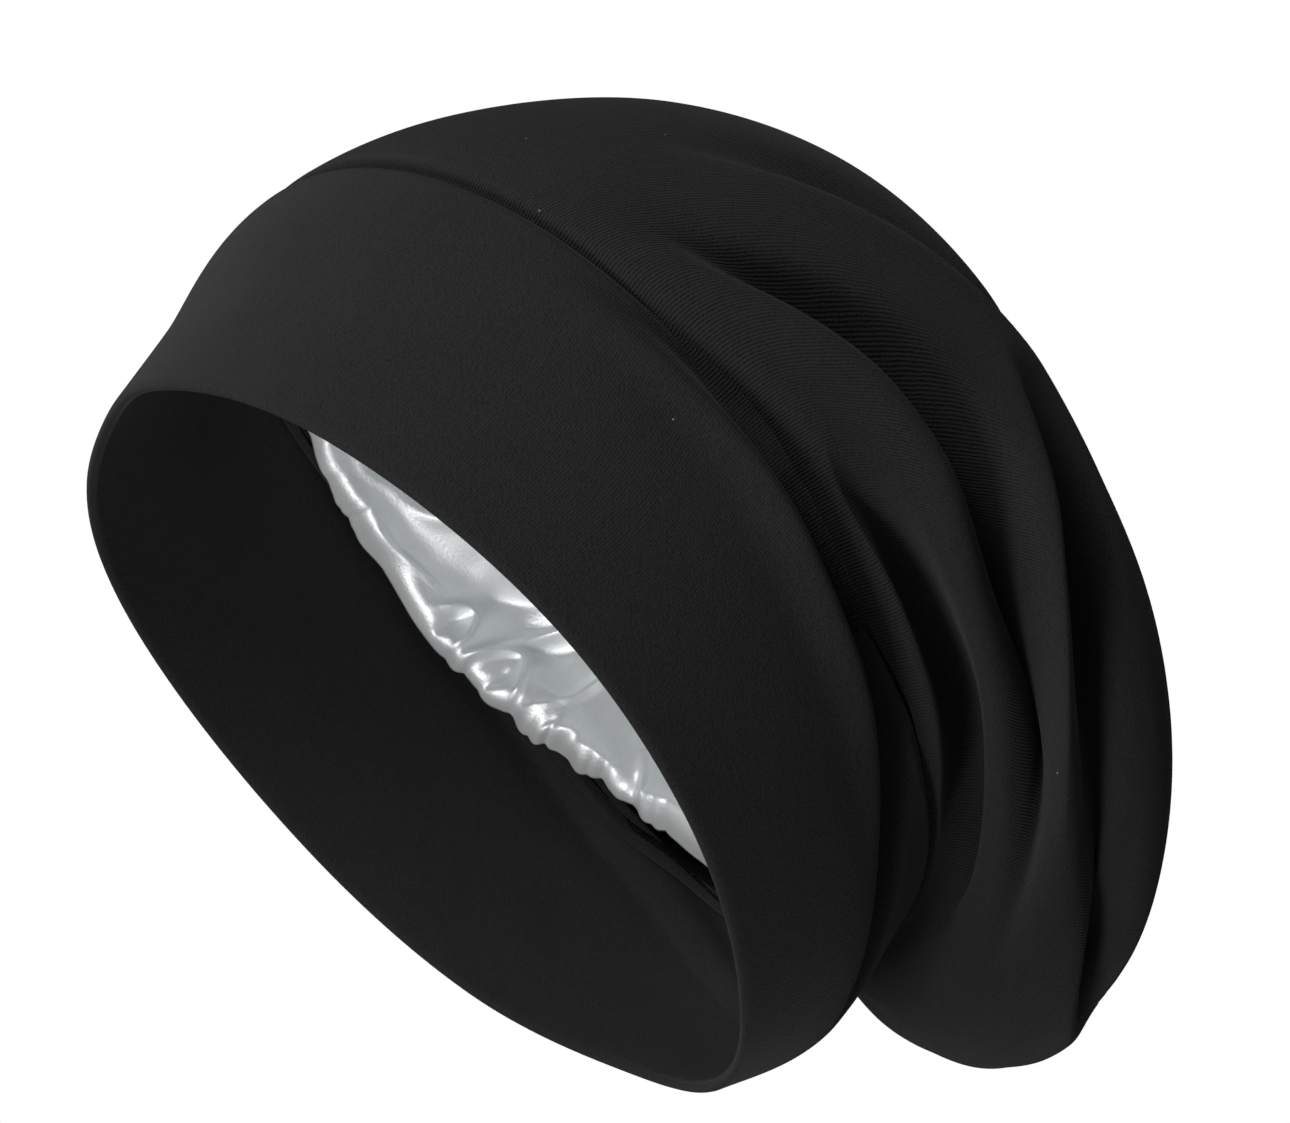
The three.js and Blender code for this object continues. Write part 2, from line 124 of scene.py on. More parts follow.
# Ridges and tucks of the satin: height as a share of the tuck height, reach in metres, and a
# route that lists (degrees from the forehead, negative on the wearer's right; row).
TUCKS = (
    dict(height=1.0, reach=1.8 * MM,
         route=((-48, 0.236), (-52, 0.218), (-55, 0.200), (-58, 0.191), (-62, 0.193), (-66, 0.195),
                (-70, 0.197), (-74, 0.204), (-78, 0.208), (-82, 0.214))),
    dict(height=1.4, reach=3.2 * MM,
         route=((-54, 0.250), (-57, 0.236), (-60, 0.230), (-63, 0.238), (-67, 0.240), (-70, 0.248),
                (-72, 0.277), (-74, 0.300))),
    dict(height=-2.4, reach=2.0 * MM, route=((-81.5, 0.180), (-82.5, 0.198), (-83.5, 0.212))),
    dict(height=1.9, reach=1.4 * MM,
         route=((-78.5, 0.188), (-81, 0.205), (-83, 0.218), (-84.4, 0.216), (-85, 0.204),
                (-84.8, 0.188), (-84.8, 0.178), (-86.5, 0.172))),
    dict(height=-1.3, reach=3.5 * MM,
         route=((-82.5, 0.230), (-84, 0.252), (-86, 0.285), (-88, 0.325))),
    dict(height=2.0, reach=2.0 * MM,
         route=((-85, 0.176), (-86.8, 0.190), (-88, 0.204), (-89.6, 0.226), (-91.2, 0.255),
                (-92.5, 0.294), (-93.5, 0.340))),
    dict(height=1.8, reach=1.4 * MM,
         route=((-85.5, 0.178), (-88, 0.199), (-90, 0.215), (-92, 0.223), (-93, 0.219),
                (-94, 0.206), (-95, 0.190), (-95.5, 0.176))),
    dict(height=-1.9, reach=1.7 * MM, route=((-90, 0.176), (-91.5, 0.194), (-92.4, 0.208))),
    dict(height=-2.0, reach=4.5 * MM, route=((-92.5, 0.234), (-94.6, 0.256), (-95.5, 0.300))),
    dict(height=1.8, reach=2.5 * MM,
         route=((-95, 0.215), (-98.5, 0.213), (-101.5, 0.221), (-102.5, 0.240), (-102.5, 0.266),
                (-100.5, 0.300), (-97.5, 0.335))),
    dict(height=1.2, reach=1.5 * MM, route=((-95.5, 0.184), (-98, 0.197), (-101, 0.213))),
    dict(height=-1.3, reach=1.5 * MM, route=((-99, 0.180), (-101, 0.197), (-102.5, 0.208))),
    dict(height=1.3, reach=1.7 * MM, route=((-101, 0.188), (-103.5, 0.202), (-106, 0.213))),
    dict(height=1.1, reach=1.8 * MM,
         route=((-105, 0.202), (-109, 0.214), (-112, 0.220), (-115, 0.225))),
    dict(height=-1.6, reach=3.6 * MM, route=((-107, 0.315), (-111, 0.280), (-113.5, 0.248))),
    dict(height=-1.6, reach=1.2 * MM, route=((-117.5, 0.212), (-118.3, 0.225), (-117.5, 0.237))),
    dict(height=1.7, reach=1.0 * MM,
         route=((-120.3, 0.213), (-120.3, 0.226), (-119, 0.238), (-117, 0.245), (-115, 0.247))),
    dict(height=1.2, reach=1.7 * MM,
         route=((-117, 0.219), (-122, 0.229), (-127, 0.235), (-134, 0.236), (-143, 0.228))),
    dict(height=3.6, reach=8.0 * MM, route=((-66, 0.262), (-72, 0.258), (-78, 0.262))),
    dict(height=3.2, reach=7.0 * MM, route=((-99, 0.262), (-104, 0.258), (-108, 0.262))),
    dict(height=-2.6, reach=6.0 * MM, route=((-80, 0.270), (-84, 0.275), (-87, 0.290))),
)
TUCK_ENDS = 0.18       # share of a route over which its ridge rises and runs out
TUCK_HEIGHT = 1 * MM
TUCK_STEPS = 60
SHARP_REACH = 0.55     # reach of the sharper half of a ridge, as a share of the whole reach

# How a fold starts, narrows, carries its crest and runs out, in shares of its route; the crest's
# offset and reach are shares of the steep side, and the run-out of all folds is in stations.
FOLD_STARTS = 0.35
FOLD_NARROWS = 0.4
FOLD_RUNOUT = (0.93, 0.99)
CREST_ENDS = (0.45, 0.75)
CREST_OFFSET = 2.1
CREST_REACH = 1.3
ROUTE_STEPS = 32

# Meshes of the band and the crown, and how they meet at the seam
BAND_COLUMNS = 480
BAND_ROWS = 74
RIM_ROWS = 9
CROWN_COLUMNS = 420
CROWN_ROWS = 172
CROWN_BACK_ROWS = 40
MERGE_DISTANCE = 1e-6
AROUND = 0.560         # girth of the band, in metres
ALONG = 0.300          # rim to tail along the cloth, in metres
SEAM_CROWDING = 1.4    # how much closer the rows are at the seam
SEAM_GAP = 0.35 * MM   # from the band's edge to the seam
ALLOWANCE = 0.018      # how far the crown's seam allowance hangs behind the band, in stations
ALLOWANCE_GAP = 0.2 * MM
GROOVE_DEPTH = 2.4 * MM
GROOVE_REACH = 0.006   # in stations

# Mesh of the lining, and how it hangs behind the crown
LINING_COLUMNS = 640
LINING_ROWS = 132
LINING_BACK_ROWS = 20
EVEN_ROWS = 0.25       # share of the satin over which its rows would be even
ROW_CROWDING = 6       # how much closer the rows are at the satin's edge
SIDE_CROWDING = 0.45   # how much closer the columns are on the wearer's right side
SATIN_LENGTH = 0.235   # edge to tail along the satin, in metres
LINING_GAP = 1.9 * MM
LINING_HANG = 5 * MM
ROLL_SIZE = 3.6 * MM
SLACK_ENDS = 0.12      # in stations
EDGE_SPAN = 9 * MM
SLACK_SPAN = 22 * MM

# Gathers of the satin's edge. A wave is its size, its count round the head and its phase.
SMALL_PUFFS = 104
SMALL_DEPTH = 0.8 * MM
SMALL_REACH = 2.5 * MM
SMALL_UNEVEN = (0.45, 17, 1.2)
LARGE_PUFFS = 40
LARGE_DEPTH = 1.2 * MM
LARGE_REACH = 6 * MM
LARGE_LEAST = 0.4      # the least share of the large puffs between the tightest gathers
LARGE_SOFTNESS = 0.02
SWELLS = 11
SWELL_DEPTH = 3.6 * MM
SWELL_REACH = 40 * MM
SWELL_PHASE = 2.2
TIGHT_PLACES = 4
TIGHT_LEAST = 0.15     # the least share of the puffs between the tightest gathers
TIGHT_PHASE = 3.84
PUFF_DRIFT = ((0.05, 7, 0.6), (0.03, 13, 1.9))
SMALL_DRIFT = ((0.010, 29, 0.4), (0.006, 47, 2.6))

# Jersey: the pitch of its ribs and their relief, as shares of the crown's
JERSEYS = {"band": (0.8, 0.38), "crown": (1.0, 1.0)}
RIB_BUMP = (0.18 * MM, 0.75)       # a bump's height and strength
RIB_LIGHT = 0.66                   # how much a pattern lightens the cloth's colour; for the ribs, painted shade darkens the gaps between them
RIB_EDGES = (0.1, 0.75)
RIB_DRIFT = 3.0                    # in radians of the ribs' wave
RIB_DRIFT_SCALE = 260.0
FLAT_LIGHT = 0.35                  # how much ribs without relief lighten the colour, as flatter ribs get less painted shade in their gaps
STITCH_PITCH = 0.85                # share of the rib pitch
STITCH_HEIGHT = 0.18               # share of the ribs' height
NAP_SCALE = 1900.0
NAP_BUMP = (0.36 * MM, 0.65)
NAP_LIGHT = 0.62
NAP_EDGES = (0.3, 0.7)
CLOUD_SCALE = 55.0
CLOUD_BUMP = (1.2 * MM, 0.35)
CLOUD_LIGHT = 0.24
LINT_SCALE = 75.0
LINT_SIZE = 0.017
LINT_COLOUR = (0.16, 0.15, 0.14, 1)
JERSEY_SHADER = {"Roughness": 0.95, "Specular IOR Level": 0.12, "Sheen Weight": 0.05,
                 "Sheen Roughness": 0.45}

# Satin: its weave, its grain, its painted sheen and the soft wrinkles of slack cloth
WEAVE_PITCH = 0.35 * MM
WEAVE_BUMP = (0.03 * MM, 0.15)
GRAIN_SCALE = 1500.0
GRAIN_BUMP = (0.14 * MM, 0.70)
GRAIN_LIGHT = 0.50
WRINKLE_SCALE = 42.0
WRINKLE_BUMP = (4 * MM, 0.60)
SHEEN_SCALE = 60.0
SHEEN_LIGHT = 0.50
SATIN_SHADER = {"Metallic": 0.60, "Roughness": 0.53, "Anisotropic": 0.45}

# The camera looks up at the hat from its left: azimuth from the front and elevation in degrees
CAMERA_AZIMUTH = 72
CAMERA_ELEVATION = -20
CAMERA_TARGET = (0.0, 48.9 * MM, 45.7 * MM)
CAMERA_DISTANCE = 0.850
CAMERA_LENS = 113
CAMERA_NEAR = 0.01
SENSOR_WIDTH = 36

# Stage: the paper floor, the room's light and the softboxes. A softbox stands in a direction in
# the picture's own axes at a distance in metres, with a size in metres and a power in watts.
FLOOR_HEIGHT = -1.5
FLOOR_SIZE = 6
PAPER_SHADER = {"Base Color": (0.85, 0.85, 0.85, 1), "Roughness": 0.9}
ROOM_LIGHT = 0.16
WHITE = (1, 1, 1, 1)
SOFTBOXES = {
    "key": dict(right=-0.65, up=0.80, near=0.55, distance=1.4, size=(0.9, 0.9), power=16),
    "front": dict(right=-0.55, up=-0.35, near=0.85, distance=1.2, size=(0.35, 0.5), power=9),
}


def length_prop(name, description, default):
    """A length of the hat, in metres."""
    return bpy.props.FloatProperty(name=name, description=description, default=default,
                                   min=0.0, unit="LENGTH", precision=4)


def colour_prop(name, description, default):
    """A colour without alpha, linear."""
    return bpy.props.FloatVectorProperty(name=name, description=description, default=default,
                                         min=0.0, max=1.0, size=3, subtype="COLOR")


class HatSizes(bpy.types.PropertyGroup):
    """Sizes of the hat, the same as its frame's"""

    opening_length: length_prop("Opening length", "Rim from forehead to nape", 184.6 * MM)
    opening_width: length_prop("Opening width", "Rim from ear to ear", 170 * MM)
    band_height: length_prop("Band height", "Rim to seam at the forehead", 49 * MM)
    side_rise: length_prop("Side rise", "Extra height of the seam above the ears", 17 * MM)
    crown_depth: length_prop("Crown depth", "Seam to the top of the slouch", 102 * MM)
    fold_depth: length_prop("Fold depth", "Deepest fold of the crown", 15 * MM)
    fold_width: length_prop("Fold width", "Gentle side of the widest fold", 14 * MM)
    band_wall: length_prop("Band wall", "Two layers of jersey", 2.6 * MM)
    crown_wall: length_prop("Crown wall", "One layer of jersey", 1.8 * MM)
    lining_wall: length_prop("Lining wall", "Satin with its backing", 0.8 * MM)
    rim_tilt: bpy.props.FloatProperty(
        name="Rim tilt", description="How far the forehead side of the rim is raised",
        default=math.radians(43.9), subtype="ANGLE")


class HatFinish(bpy.types.PropertyGroup):
    """Colours of the cloth"""

    jersey: colour_prop("Jersey", "Colour of the jersey's ribs", (0.0172, 0.0172, 0.0180))
    # Painted shade: colour darkened in the gaps between the ribs
    jersey_gap_shade: colour_prop("Jersey gaps", "Colour between the ribs", (0.004, 0.004, 0.0045))
    satin: colour_prop("Satin", "Colour of the satin", (0.90, 0.915, 0.92))
    # Partly darker threads, partly painted shade where the painted sheen is low
    satin_shade: colour_prop("Satin shade", "Its darker threads", (0.74, 0.775, 0.78))
    rib_pitch: length_prop("Rib pitch", "From one rib of the crown's jersey to the next", 0.64 * MM)


def smooth(x, low, high):
    """0 below low, 1 above high, and a smooth step between them."""
    s = np.clip((x - low) / (high - low), 0.0, 1.0)
    return s * s * (3.0 - 2.0 * s)


def gauss(x, reach):
    """1 at 0, and a soft fall to either side."""
    return np.exp(-(x / reach) ** 2)


def along_table(rows, x):
    """Smooth curve through every row of a table whose first column is where the row stands."""
    table = np.asarray(rows, float)
    at, value = table[:, 0], table[:, 1:]
    step = np.diff(at)
    rate = np.diff(value, axis=0) / step[:, None]
    slope = np.empty_like(value)
    slope[0], slope[-1] = rate[0], rate[-1]
    slope[1:-1] = ((rate[:-1] * step[1:, None] + rate[1:] * step[:-1, None])
                   / (step[:-1] + step[1:])[:, None])
    x = np.asarray(x, float)
    i = np.clip(np.searchsorted(at, x, side="right") - 1, 0, len(at) - 2)
    h = step[i][..., None]
    q = ((x - at[i]) / step[i])[..., None]
    a, b = value[i], value[i + 1]
    u, v = slope[i] * h, slope[i + 1] * h
    return a + q * (u + q * (3 * (b - a) - 2 * u - v + q * (2 * (a - b) + u + v)))


def soft_ridge(where, points, height, reach):
    """Height of a soft ridge along a line of points, which has no crease anywhere."""
    step = np.linalg.norm(np.gradient(points, axis=0), axis=-1)
    total = np.zeros(where.shape[:-1])
    for point, weight in zip(points, height * step / math.sqrt(math.pi)):
        away = where - point
        total += weight / reach * np.exp(-np.einsum("...i,...i", away, away) / reach ** 2)
    return total


def degrees_aside(angle):
    """Degrees from the forehead, to either side."""
    return np.degrees(np.arccos(np.cos(angle)))


def unit(vectors):
    """Vectors of length 1."""
    length = np.linalg.norm(vectors, axis=-1, keepdims=True)
    return vectors / np.maximum(length, 1e-12)


class Cloth:
    """The hat's cloth as a surface over station (0 at the rim, 1 at the tail) and angle."""

    NUDGE = 1e-3

    def __init__(self, sizes):
        self.sizes = sizes
        tilt = sizes.rim_tilt
        self.forward = np.array((0.0, -math.cos(tilt), math.sin(tilt)))
        self.upward = np.array((0.0, math.sin(tilt), math.cos(tilt)))
        self.sideways = np.array((1.0, 0.0, 0.0))
        self.routes = [self.route(fold, side) for fold in FOLDS for side in (1, -1)]

    def middle(self, along, band, crown):
        """Point over the hat's middle line, from a section's three shares."""
        s = self.sizes
        rise = band * s.band_height + crown * s.crown_depth
        return (along[..., None] * s.opening_length / 2 * self.forward
                + rise[..., None] * self.upward)

    def plain(self, station, angle):
        """The cloth without its folds."""
        s = self.sizes
        columns = np.moveaxis(along_table(SECTIONS, station), -1, 0)
        front = self.middle(*columns[0:3])
        back = self.middle(*columns[3:6])
        half_width, side_rise = columns[6:8]
        half = np.linalg.norm(front - back, axis=-1) / 2
        chord = unit(front - back)
        rise = np.cross(chord, self.sideways)
        cos, sin = np.cos(angle), np.sin(angle)
        blunt = 1 + FOREHEAD_BLUNTNESS * sin ** 2 * (cos > 0)
        lift = side_rise * s.side_rise * sin ** 2 * (1 - SIDE_RISE_TO_BACK * cos)
        turned = np.degrees(np.arctan2(sin, cos))
        drop = (along_table(RIM_DROP, turned)[..., 0] * s.band_height
                * (1 - smooth(station, 0, RIM_DROP_ENDS)))
        return ((front + back) / 2 + (half * cos * blunt)[..., None] * chord
                + lift[..., None] * rise - drop[..., None] * self.upward
                + (half_width * s.opening_width / 2 * sin)[..., None] * self.sideways)

    def outward(self, surface, station, angle):
        """Outward direction of a surface that is a function of station and angle."""
        e = self.NUDGE
        top = np.minimum(station, 1 - 2 * e)
        around = surface(top, angle + e) - surface(top, angle - e)
        up = surface(top + e, angle) - surface(np.maximum(top - e, 0), angle)
        return unit(np.cross(around, up))

    def route(self, fold, side):
        """A fold's route on the plain cloth, with its direction to the tail."""
        table = [(i, *row) for i, row in enumerate(fold["route"])]
        degrees, station = along_table(table, np.linspace(0, len(table) - 1, ROUTE_STEPS + 1)).T
        angle = side * np.radians(degrees)
        points = self.plain(station, angle)
        normal = self.outward(self.plain, station, angle)
        run = np.gradient(points, axis=0)
        to_tail = unit(np.cross(run, normal) * -side)
        depth = self.sizes.fold_depth * fold["depth"] * (1 if side > 0 else fold["right"])
        return dict(fold, depth=depth, points=points, to_tail=to_tail)

    def beside(self, route, where):
        """Share of the route, distance from it (positive to the tail) and direction there."""
        points, to_tail = route["points"], route["to_tail"]
        nearest = np.full(where.shape[:-1], np.inf)
        distance, share = np.zeros_like(nearest), np.zeros_like(nearest)
        direction = np.zeros_like(where)
        for i in range(ROUTE_STEPS):
            run = points[i + 1] - points[i]
            t = np.clip((where - points[i]) @ run / (run @ run), 0, 1)
            away = where - points[i] - t[..., None] * run
            gap = np.einsum("...i,...i", away, away)
            closer = gap < nearest
            tail = to_tail[i] + t[..., None] * (to_tail[i + 1] - to_tail[i])
            sign = np.sign(np.einsum("...i,...i", away, tail))
            nearest = np.where(closer, gap, nearest)
            distance = np.where(closer, sign * np.sqrt(gap), distance)
            share = np.where(closer, (i + t) / ROUTE_STEPS, share)
            direction = np.where(closer[..., None], tail, direction)
        return share, distance, unit(direction)

    @staticmethod
    def strength(route, share):
        """Depth of a fold at a share of its route."""
        return (route["depth"] * smooth(share, 0, FOLD_STARTS)
                * (1 - smooth(share, route["ends_at"], 1)))

    def fold_move(self, where, station):
        """Height of the folds at points of the plain cloth, and how far each point leans."""
        s = self.sizes
        valley, crest = np.zeros(where.shape[:-1]), np.zeros(where.shape[:-1])
        lean = np.zeros_like(where)
        for route in self.routes:
            share, distance, direction = self.beside(route, where)
            strength = self.strength(route, share)
            width = s.fold_width * (1 - FOLD_NARROWS * smooth(share, FOLD_STARTS, 1))
            steep = width * route["steep"]
            reach = np.where(distance < 0, steep, width * route["gentle"])
            valley = np.maximum(valley, strength * gauss(distance, reach))
            lip = route["lip"] * (1 - smooth(share, *CREST_ENDS))
            near_crest = gauss(distance + CREST_OFFSET * steep, CREST_REACH * steep)
            crest = np.maximum(crest, lip * strength * near_crest)
            tip = route["lean"] * width * strength / s.fold_depth * near_crest
            lean += tip[..., None] * direction
        fade = 1 - smooth(station, *FOLD_RUNOUT)
        height = (crest * np.maximum(0, 1 - valley / s.fold_depth) - valley) * fade
        return height, lean * fade[..., None]

    def slack_valley(self, where, span):
        """Depth to which slack cloth spans the folds, with a reach of its own."""
        share = np.linspace(0, 1, ROUTE_STEPS + 1)
        valley = np.zeros(where.shape[:-1])
        for route in self.routes:
            valley += soft_ridge(where, route["points"], self.strength(route, share), span)
        return valley

    def folded(self, station, angle):
        """The folded cloth's outer face."""
        points = self.plain(station, angle)
        height, lean = self.fold_move(points, station)
        return points + height[..., None] * self.outward(self.plain, station, angle) + lean

    def station_of(self, row, angle):
        """Station of a row that is shifted so that the seam's row lies on the seam's line."""
        line = along_table(SEAM_LINE, degrees_aside(angle))[..., 0]
        shift = smooth(row, 0, SEAM) * (1 - smooth(row, SEAM, SEAM_SHIFT_ENDS))
        return row + (line - SEAM) * shift

    def sewn(self, row, angle):
        """The folded cloth's outer face by rows."""
        return self.folded(self.station_of(row, angle), angle)


def wrapped_mesh(name, columns, rows, place, chart):
    """A grid that is wrapped round the head and has its doubles merged.

    place gives the points and chart the UV coordinates of an array of turns (0 to 1 round the
    head) and an array of row numbers.
    """
    bm = bmesh.new()
    bm.loops.layers.uv.new("cloth")
    bmesh.ops.create_grid(bm, x_segments=columns, y_segments=rows, size=0.5)
    mesh = bpy.data.meshes.new(name)
    bm.to_mesh(mesh)
    bm.free()

    flat = np.empty(len(mesh.vertices) * 3)
    mesh.vertices.foreach_get("co", flat)
    turn, row = (flat.reshape(-1, 3)[:, :2] + 0.5).T
    turn = np.rint(turn * columns) / columns
    row = np.rint(row * rows).astype(int)
    mesh.vertices.foreach_set("co", place(turn % 1.0, row).ravel())

    corner = np.empty(len(mesh.loops), int)
    mesh.loops.foreach_get("vertex_index", corner)
    mesh.uv_layers[0].data.foreach_set("uv", chart(turn, row)[corner].ravel())

    bm = bmesh.new()
    bm.from_mesh(mesh)
    bmesh.ops.remove_doubles(bm, verts=bm.verts, dist=MERGE_DISTANCE)
    bmesh.ops.recalc_face_normals(bm, faces=bm.faces)
    for face in bm.faces:
        face.smooth = True
    bm.to_mesh(mesh)
    bm.free()
    return mesh


def add_piece(name, mesh, material, node):
    """Puts a finished mesh into the scene in place of its CAD node."""
    piece = bpy.data.objects.new(name, mesh)
    bpy.context.scene.collection.objects.link(piece)
    mesh.materials.append(material)
    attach(piece, "root")
    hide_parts(node)
    return piece


def chart_of(stations, around, length):
    """UV chart in metres: round the head, and along the cloth from the rim."""
    def chart(turn, row):
        return np.stack([turn * around, stations[row] * length], axis=-1)
    return chart


def seam_groove(station):
    """How deep the stitched seam is drawn in."""
    return GROOVE_DEPTH * gauss(station - SEAM, GROOVE_REACH)


def shell_place(cloth, stations, insets):
    """Points of a shell whose rows have stations and insets from the outer face."""
    def surface(station, angle):
        return (cloth.sewn(station, angle)
                - seam_groove(station)[..., None] * cloth.outward(cloth.plain, station, angle))

    def place(turn, row):
        station, inset = stations[row], insets[row]
        angle = np.where(station >= 1, 0.0, turn * 2 * math.pi)
        points = surface(station, angle)
        inner = inset > 0
        points[inner] -= (inset[inner, None]
                          * cloth.outward(surface, station[inner], angle[inner]))
        return points
    return place


def crowded(share):
    """Rows of the satin, close together at its edge."""
    return EVEN_ROWS * share + (1 - EVEN_ROWS) * share ** ROW_CROWDING


def waves_sum(angle, *waves_round):
    """Sum of waves round the head, each with its size, its count and its phase."""
    return sum(size * np.sin(count * angle + phase) for size, count, phase in waves_round)


def puff_waves(angle):
    """Puffs of the gathered edge, small and large, and its slow swells, all from 0 to 1."""
    drifted = angle + waves_sum(angle, *PUFF_DRIFT)
    uneven = drifted + waves_sum(angle, *SMALL_DRIFT)
    tight = 0.5 - 0.5 * np.cos(TIGHT_PLACES * angle + TIGHT_PHASE)
    tight = TIGHT_LEAST + (1 - TIGHT_LEAST) * tight
    small_size = tight * (1 - SMALL_UNEVEN[0] + waves_sum(angle, SMALL_UNEVEN))
    small = small_size * np.abs(np.cos(SMALL_PUFFS / 2 * uneven))
    large_size = LARGE_LEAST + (1 - LARGE_LEAST) * tight
    large = large_size * np.sqrt(np.cos(LARGE_PUFFS / 2 * drifted) ** 2 + LARGE_SOFTNESS)
    return small, large, 0.5 + 0.5 * np.sin(SWELLS * drifted + SWELL_PHASE)


def satin_gathers(angle, above):
    """Depth of the satin's gathers, most at its edge."""
    small, large, swell = puff_waves(angle)
    return (SMALL_DEPTH * small * np.exp(-above / SMALL_REACH)
            + LARGE_DEPTH * large * np.exp(-above / LARGE_REACH)
            + SWELL_DEPTH * swell * np.exp(-above / SWELL_REACH))


def tuck_height(cloth, where):
    """Height of the satin's ridges and tucks at points of the plain cloth."""
    height = np.zeros(where.shape[:-1])
    share = np.linspace(0, 1, TUCK_STEPS + 1)
    ends = smooth(share, 0, TUCK_ENDS) * (1 - smooth(share, 1 - TUCK_ENDS, 1))
    for tuck in TUCKS:
        table = [(i, *row) for i, row in enumerate(tuck["route"])]
        degrees, row = along_table(table, share * (len(table) - 1)).T
        angle = np.radians(degrees)
        points = cloth.plain(cloth.station_of(row, angle), angle)
        half = tuck["height"] * TUCK_HEIGHT * ends / 2
        for reach in (tuck["reach"], tuck["reach"] * SHARP_REACH):
            height += soft_ridge(where, points, half, reach)
    return height


def satin_face(cloth, share, angle, inset):
    """Points of the satin from its edge (share 0) to the tail (share 1)."""
    sizes = cloth.sizes
    small, large, _ = puff_waves(angle)
    edge = (along_table(SATIN_EDGE, degrees_aside(angle))[..., 0]
            - EDGE_SCALLOP * (large - 0.5) - SMALL_SCALLOP * (small - 0.5))
    row = edge + (1 - edge) * share
    station = cloth.station_of(row, angle)
    points = cloth.plain(station, angle)
    above = share * SATIN_LENGTH
    slack = smooth(row - SEAM, 0, SLACK_ENDS)
    span = EDGE_SPAN + (SLACK_SPAN - EDGE_SPAN) * slack
    roll = np.sqrt(1 - (1 - above / ROLL_SIZE).clip(0, 1) ** 2)
    depth = (sizes.band_wall + LINING_GAP + ROLL_SIZE * roll + LINING_HANG * slack + inset
             + satin_gathers(angle, above) * roll
             + tuck_height(cloth, points) * roll
             + cloth.slack_valley(points, span))
    return points - depth[..., None] * cloth.outward(cloth.plain, station, angle)


def shader_tree(name):
    """A new material with its node tree and its principled shader."""
    material = bpy.data.materials.new(name)
    material.use_nodes = True
    tree = material.node_tree
    return material, tree, tree.nodes["Principled BSDF"]


def feed(tree, socket, value):
    """Links a socket to a node's output, or sets it to a plain value."""
    if isinstance(value, bpy.types.NodeSocket):
        tree.links.new(value, socket)
    else:
        socket.default_value = value


def calc(tree, operation, first, second=0.0):
    """A Math node's result."""
    node = tree.nodes.new("ShaderNodeMath")
    node.operation = operation
    feed(tree, node.inputs[0], first)
    feed(tree, node.inputs[1], second)
    return node.outputs[0]


def noise(tree, where, scale, detail=2.0):
    """A Noise node's value, from 0 to 1."""
    node = tree.nodes.new("ShaderNodeTexNoise")
    feed(tree, node.inputs["Vector"], where)
    node.inputs["Scale"].default_value = scale
    node.inputs["Detail"].default_value = detail
    return node.outputs["Fac"]


def span_of(tree, value, low, high):
    """How far a value is from low to high, clamped to 0 and 1."""
    node = tree.nodes.new("ShaderNodeMapRange")
    feed(tree, node.inputs["Value"], value)
    node.inputs["From Min"].default_value = low
    node.inputs["From Max"].default_value = high
    return node.outputs["Result"]


def blend(tree, share, first, second):
    """A mix of two colours."""
    node = tree.nodes.new("ShaderNodeMix")
    node.data_type = "RGBA"
    feed(tree, node.inputs["Factor"], share)
    feed(tree, node.inputs["A"], first)
    feed(tree, node.inputs["B"], second)
    return node.outputs["Result"]


def bump(tree, height, size, normal=None):
    """A Bump node's normal: the size is its height in metres and its strength."""
    node = tree.nodes.new("ShaderNodeBump")
    node.inputs["Distance"].default_value, node.inputs["Strength"].default_value = size
    feed(tree, node.inputs["Height"], height)
    if normal is not None:
        tree.links.new(normal, node.inputs["Normal"])
    return node.outputs["Normal"]


def weighed(tree, *parts):
    """Sum of values, each times its share."""
    total = 0.0
    for value, share in parts:
        total = calc(tree, "ADD", total, calc(tree, "MULTIPLY", value, share))
    return total


def waves(tree, length, pitch, phase=0.0):
    """A wave from 0 to 1 along a length."""
    turns = calc(tree, "MULTIPLY", length, 2 * math.pi / pitch)
    sine = calc(tree, "SINE", calc(tree, "ADD", turns, phase))
    return span_of(tree, sine, -1.0, 1.0)


def cloth_places(tree):
    """Metres round the head and along the cloth, and the place on the piece."""
    chart = tree.nodes.new("ShaderNodeUVMap")
    chart.uv_map = "cloth"
    split = tree.nodes.new("ShaderNodeSeparateXYZ")
    tree.links.new(chart.outputs["UV"], split.inputs["Vector"])
    place = tree.nodes.new("ShaderNodeTexCoord").outputs["Object"]
    return split.outputs["X"], split.outputs["Y"], place


def set_sockets(node, values):
    """Sets a node's inputs to plain values."""
    for name, value in values.items():
        node.inputs[name].default_value = value


